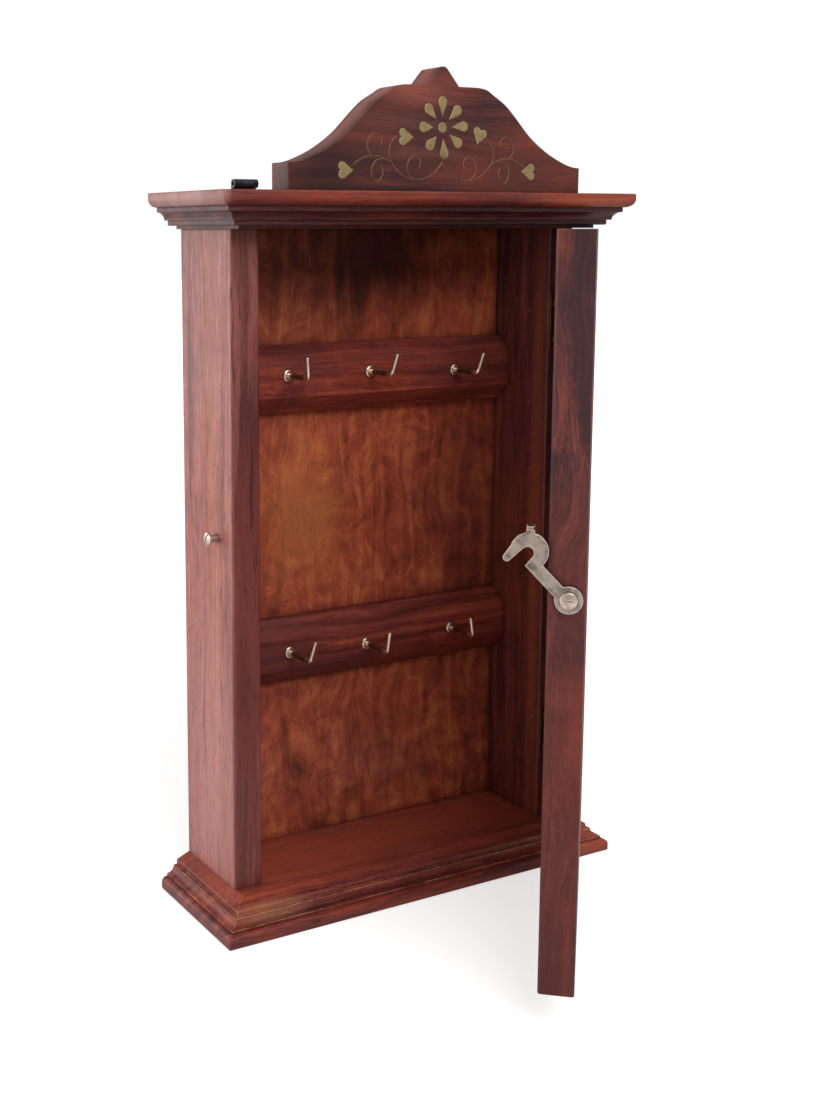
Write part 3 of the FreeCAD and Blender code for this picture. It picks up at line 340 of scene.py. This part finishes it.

# Marks that single boards have, laid on in this order: middle and size in millimetres, colour, strength. Some
# of them are painted light and shade, as their notes say.
BOARD_MARKS = {
    "plinth_moulding": (
        ((0, 5, 15), (220, 40, 4), "#A8503A", 0.8),            # painted light on its flat top, the floor, lit from above
        ((-80, -30, 12), (26, 9, 5), "#C08860", 0.7),          # pale at the left corner: painted highlight, with some rubbed wear
        ((40, -30, 12), (70, 12, 8), "#5C2620", 0.6),          # dark moulding to the right
    ),
    "cornice_cap": (
        ((0, -36, 307), (200, 8, 12), "#6A2C24", 0.5),         # front edge
        ((-103, 0, 307), (4, 90, 14), "#C0908A", 0.8),         # left end grain, pale pink: painted sheen from the lamps at its left
        ((75, -36, 307), (34, 10, 6), "#A84A26", 0.7),         # orange streak at the right
        ((-60, -36, 308), (40, 10, 5), "#9A4028", 0.5),        # orange streak at the left
        ((30, -36, 307), (30, 10, 5), "#3C1A18", 0.6),         # dark streak between them
    ),
    "left_side": (
        ((-88, 8, 190), (6, 9, 190), "#B86E52", 0.6),          # orange band on the outer face
        ((-88, 10, 60), (6, 40, 110), "#C98C86", 0.6),         # paler foot of that face: painted light bounced up from the table, and painted sheen
        ((-88, 27, 230), (6, 2.5, 70), "#5A3038", 0.8),        # dark streak near the rear edge
        ((-81, -12.4, 150), (30, 1.6, 900), "#46181A", 0.85),  # dark front edge: painted shade, against the lit left face of the same board
        ((-81, -12.4, 120), (30, 1.6, 130), "#84403A", 0.6),   # lighter middle of the front edge
        ((-80, -12.4, 222), (7, 2, 24), "#34181E", 0.6),       # dark blotches on it
        ((-83, -12.4, 105), (6, 2, 30), "#3A1C20", 0.4),
    ),
    "right_side": (
        ((75, -6, 150), (4, 7, 220), "#9A4A34", 0.6),          # painted light inside, by the front edge, where the shade of the left side ends
    ),
    "back_panel": (
        ((-32, 27, 168), (26, 20, 46), "#BC7440", 0.55),       # painted light: a pale pool between the rails
        ((64, 27, 150), (26, 20, 90), "#5A2620", 0.6),         # painted shade over the right side
        ((0, 27, 285), (100, 20, 42), "#2C1412", 0.85),        # painted shadow of the cornice over the top
    ),
    "crest": (
        ((-20, -24.5, 335), (90, 8, 90), "#A86A60", 0.7),      # painted highlight along the top edge
        ((-58, -33, 318), (34, 20, 20), "#221011", 0.9),       # dark left shoulder
        ((-14, -33, 352), (26, 20, 12), "#9A5040", 0.7),       # lighter wood round the flower
        ((10, -33, 356), (14, 20, 12), "#8A4030", 0.6),
        ((44, -33, 330), (22, 20, 10), "#6E322A", 0.5),        # lighter right shoulder
        ((40, -33, 318), (30, 20, 12), "#3C1C1C", 0.6),        # dark below it
    ),
    "door_latch_stile": (
        ((-16, -136, 80), (60, 60, 130), "#6E2A22", 0.5),      # redder lower half
        ((-16, -136, 265), (60, 60, 50), "#3A2026", 0.5),      # plum top
        ((-20, -136, 185), (60, 60, 26), "#7A3428", 0.25),     # lighter by the latch
    ),
}


# --- metals -------------------------------------------------------------------------------------------------

# A hook's rod is painted dark between its tip and its collar, a painted reflection of the dark inside of the
# cabinet: the depths over which that begins and ends.
ROD_BEGINS = (-1 * MM, 2 * MM)
ROD_ENDS = (13.5 * MM, 12 * MM)

# Hairline scratches in metal, drawn a little coarser than real ones: their turn, length and width.
HAIRLINE_TURN = (0.5, 0.9, 0.4)
HAIRLINE = (12 * MM, 0.4 * MM)


def hook_rod(tree, place):
    """1 on the rod of a hook, 0 on its tip and its collar."""
    depth = add(tree, "ShaderNodeSeparateXYZ", (place,)).outputs["Y"]
    behind_tip = add(tree, "ShaderNodeMapRange", (depth, *ROD_BEGINS))
    before_collar = add(tree, "ShaderNodeMapRange", (depth, *ROD_ENDS))
    return add(tree, "ShaderNodeMath", (behind_tip, before_collar), operation="MULTIPLY")


def worn_metal(name, body, light, dark, rough, cloud_size=6 * MM, tarnish=0.5, edge_wear_and_glint=0.7, scratches=0.25,
               rod_dark_reflection=0.0, rim_glint=0.0, rim=0.35 * MM):
    """Metal with clouds of dark tarnish, fine scratches, and edges that handling has rubbed light, which on
    the latch and the screws are also a painted highlight. A hook's rod can be painted dark with the tarnish
    colour, a painted reflection of the dark inside of the cabinet; and the edges can lose their metal, so
    that their pale colour shows as a painted highlight."""
    material, tree, place = blank_material(name)
    cloud = add(tree, "ShaderNodeTexNoise", {"Vector": place, "Scale": 1 / cloud_size, "Detail": 5.0,
                                             "Roughness": 0.62})
    edge, rounded = edge_share(tree, rim)
    # Tarnish clouds, then edges rubbed light; on the latch and the screws those pale edges are also a painted
    # highlight.
    colour = overlaid(tree, linear(body), (
        (add(tree, "ShaderNodeMapRange", (cloud, 0.46, 0.66, 0.0, tarnish)), dark),
        (add(tree, "ShaderNodeMath", (edge, edge_wear_and_glint), operation="MULTIPLY"), light)))
    # The hook's rod painted dark with the tarnish colour: a painted reflection of the dark inside of the
    # cabinet.
    if rod_dark_reflection:
        colour = overlaid(tree, colour, (
            (add(tree, "ShaderNodeMath", (hook_rod(tree, place), rod_dark_reflection), operation="MULTIPLY"), dark),))
    # Painted shade in the metal's tight corners, also standing for dirt there.
    colour = corner_shade_and_grime(tree, colour, 0.9 * MM, 0.3, 0.25)

    length, width = HAIRLINE
    hair = add(tree, "ShaderNodeMapping", {"Vector": place, "Rotation": HAIRLINE_TURN,
                                           "Scale": (1 / length, 1 / width, 1 / width)})
    lines = add(tree, "ShaderNodeTexNoise", {"Vector": hair, "Scale": 1.0, "Detail": 2.0})
    scratched = add(tree, "ShaderNodeBump", {"Height": lines, "Strength": scratches, "Distance": 0.04 * MM,
                                             "Normal": rounded})
    roughness = add(tree, "ShaderNodeMapRange", (cloud, 0.35, 0.7, rough, rough + 0.2))
    # Edges that lose their metal show their pale colour: a painted highlight on the latch and the screws.
    metallic = add(tree, "ShaderNodeMapRange", (edge, 0.2, 1.0, 1.0, 1.0 - rim_glint))
    metal = add(tree, "ShaderNodeBsdfPrincipled", {"Base Color": colour, "Metallic": metallic,
                                                   "Roughness": roughness, "Normal": scratched})
    add(tree, "ShaderNodeOutputMaterial", {"Surface": metal})
    return material


def japanned_steel():
    """Black stoving enamel on strip steel: blue-black, fairly glossy, greyer where it has been scuffed."""
    material, tree, place = blank_material("japanned_steel")
    cloud = add(tree, "ShaderNodeTexNoise", {"Vector": place, "Scale": 1 / (4 * MM), "Detail": 4.0})
    edge, rounded = edge_share(tree, 0.3 * MM)
    scuffs = add(tree, "ShaderNodeMapRange", (cloud, 0.45, 0.6))
    colour = overlaid(tree, linear("#12161A"), (
        (add(tree, "ShaderNodeMapRange", (cloud, 0.4, 0.7)), "#20262B"),
        (add(tree, "ShaderNodeMath", (edge, scuffs), operation="MULTIPLY"), "#6D7478")))
    brushed = add(tree, "ShaderNodeBump", {"Height": cloud, "Strength": 0.15, "Distance": 0.1 * MM,
                                           "Normal": rounded})
    roughness = add(tree, "ShaderNodeMapRange", (cloud, 0.3, 0.7, 0.28, 0.5))
    enamel = add(tree, "ShaderNodeBsdfPrincipled", {"Base Color": colour, "Roughness": roughness, "IOR": 1.5,
                                                    "Normal": brushed})
    add(tree, "ShaderNodeOutputMaterial", {"Surface": enamel})
    return material


# --- the finish of each piece -------------------------------------------------------------------------------

LEVELS = ("upper", "lower")
HOOKS = [f"{level}_hook_{side}" for level in LEVELS for side in ("left", "middle", "right")]
HINGES = [f"{piece}_{level}" for piece in ("cabinet_leaf", "door_leaf", "hinge_pin") for level in LEVELS]
HINGE_SCREWS = ["cabinet_hinge_screws", "door_hinge_screws"]
FIXINGS = ["hanger_screws", "plinth_screws", "cornice_screws", "rail_screws", "back_panel_pins"]


def dress(names, material):
    """Give solids a finish."""
    for name in names:
        mesh = nodes[name].data
        mesh.materials.clear()
        mesh.materials.append(material)


def dress_wood():
    """Each board has a material of its own, so that no two have the same grain."""
    for name, (turn, seed, changes) in BOARDS.items():
        dress([name], varnished_wood("rosewood_" + name, turn, seed, changes, BOARD_MARKS.get(name, ())))


def dress_metal():
    """Each metal's colours are its body, its rubbed edges, which on the latch and the screws are also a
    painted highlight, and its tarnish; then comes its roughness.
    """
    # Hooks of bent brass rod: the tips are bright, and the rods behind them are painted dark, a painted
    # reflection of the dark inside of the cabinet.
    dress(HOOKS, worn_metal("brass_with_painted_dark_rods", "#E6CDB8", "#FFF0E2", "#5E5030", 0.22, tarnish=0.3,
                            rod_dark_reflection=0.85))
    # Pressed brass butts, browned with age.
    dress(HINGES + HINGE_SCREWS,
          worn_metal("antique_brass", "#7E5C38", "#BC9664", "#42301E", 0.38, tarnish=0.7))
    # Fine wire hammered into the crest: dull, and nearly as brown as the wood about it.
    dress(["inlay_vines"],
          worn_metal("tarnished_inlay_wire", "#8E6C56", "#A8826A", "#5C4434", 0.48, cloud_size=4 * MM))
    # Sheet brass filed flush with the crest: matt, with file marks.
    dress(["inlay_flower", "inlay_hearts"],
          worn_metal("filed_inlay_brass", "#B09A70", "#D0BA94", "#75653F", 0.42, cloud_size=4 * MM,
                     tarnish=0.6, edge_wear_and_glint=0.5, scratches=0.5))
    # Sheet brass sawn by hand: grey and blotched, with pale rims that are a painted highlight off its edges.
    dress(["latch_hook"],
          worn_metal("tarnished_latch_brass", "#AA9C90", "#FFE0D2", "#685C54", 0.24, cloud_size=5 * MM,
                     tarnish=0.9, edge_wear_and_glint=1.0, scratches=0.5, rim_glint=0.8, rim=0.6 * MM))
    # Turned screws, brighter than the latch, with pale rims that are a painted highlight.
    dress(["latch_screw", "catch_screw"],
          worn_metal("turned_brass_screws", "#D8C3B6", "#FFF0E6", "#8A7866", 0.24, cloud_size=3 * MM,
                     tarnish=0.7, rim_glint=0.6))
    # Plated steel fixings: plain grey.
    dress(FIXINGS, worn_metal("zinc_plated_steel", "#A9ABAD", "#D5D7D8", "#6F7072", 0.34))
    dress(["hanger_left", "hanger_right"], japanned_steel())


# --- studio -------------------------------------------------------------------------------------------------

def white_table():
    """A matt white table: it shows white to the eye, and still takes the cabinet's soft shadow."""
    bpy.ops.object.select_all(action="DESELECT")
    bpy.ops.mesh.primitive_circle_add(vertices=TABLE_CORNERS, radius=TABLE_RADIUS, fill_type="NGON",
                                      location=(0, 0, -TABLE_DROP))
    floor = bpy.context.object
    floor.name = "floor"
    material, tree, place = blank_material("matt_white_table")
    away = add(tree, "ShaderNodeVectorMath", (place,), operation="LENGTH").outputs["Value"]
    whiteness = add(tree, "ShaderNodeMapRange", (away, 0.25, 1.2, 0.62, 1.0))
    path = add(tree, "ShaderNodeLightPath").outputs
    seen = add(tree, "ShaderNodeMath", (path["Is Glossy Ray"], 0.3, path["Is Camera Ray"]),
               operation="MULTIPLY_ADD")
    lift = add(tree, "ShaderNodeMath", (whiteness, seen), operation="MULTIPLY")
    glow = add(tree, "ShaderNodeEmission", {"Color": linear("#FFFFFF"), "Strength": lift})
    paper = add(tree, "ShaderNodeBsdfDiffuse", {"Color": linear("#D8D8D8")})
    both = add(tree, "ShaderNodeAddShader", (paper, glow))
    add(tree, "ShaderNodeOutputMaterial", {"Surface": both})
    floor.data.materials.append(material)


def pale_room():
    """Plain surroundings: white where they are seen, dimmer as a light."""
    world = bpy.data.worlds.new("pale_room")
    bpy.context.scene.world = world
    world.use_nodes = True
    tree = world.node_tree
    tree.nodes.clear()
    seen = add(tree, "ShaderNodeLightPath").outputs["Is Camera Ray"]
    strength = add(tree, "ShaderNodeMapRange", (seen, 0.0, 1.0, 0.42, 1.0))
    sky = add(tree, "ShaderNodeBackground", {"Color": linear("#FFFFFF"), "Strength": strength})
    add(tree, "ShaderNodeOutputWorld", {"Surface": sky})


def softbox(name, place, width, height, watts):
    """A rectangular lamp that faces the cabinet."""
    lamp = bpy.data.lights.new(name, "AREA")
    lamp.shape = "RECTANGLE"
    lamp.size = width
    lamp.size_y = height
    lamp.energy = watts
    holder = bpy.data.objects.new(name, lamp)
    bpy.context.scene.collection.objects.link(holder)
    holder.location = place
    holder.rotation_euler = (CABINET_MIDDLE - Vector(place)).to_track_quat("-Z", "Y").to_euler()


def lamps():
    """A lamp behind the cabinet, a window at its left and a lamp high in front of it."""
    softbox("backdrop", (-1.1, 1.3, 0.1), width=1.4, height=1.6, watts=13.0)
    softbox("window", (-1.6, 0.1, 0.15), width=1.2, height=1.4, watts=10.0)
    softbox("overhead", (-0.2, -1.3, 1.4), width=1.2, height=1.2, watts=22.0)


def camera():
    """The eye in front of the cabinet, to its left and above its middle."""
    lens = bpy.data.cameras.new("camera")
    lens.sensor_width = CAMERA_SENSOR
    lens.lens = CAMERA_LENS
    lens.shift_x, lens.shift_y = CAMERA_SHIFT
    lens.clip_start = CAMERA_NEAR
    holder = bpy.data.objects.new("camera", lens)
    bpy.context.scene.collection.objects.link(holder)
    holder.location = CAMERA_PLACE
    holder.rotation_euler = (math.radians(90) - CAMERA_DOWN, CAMERA_ROLL, CAMERA_TURN)
    bpy.context.scene.camera = holder


dress_wood()
dress_metal()
white_table()
pale_room()
lamps()
camera()
bpy.context.scene.view_settings.view_transform = "Standard"
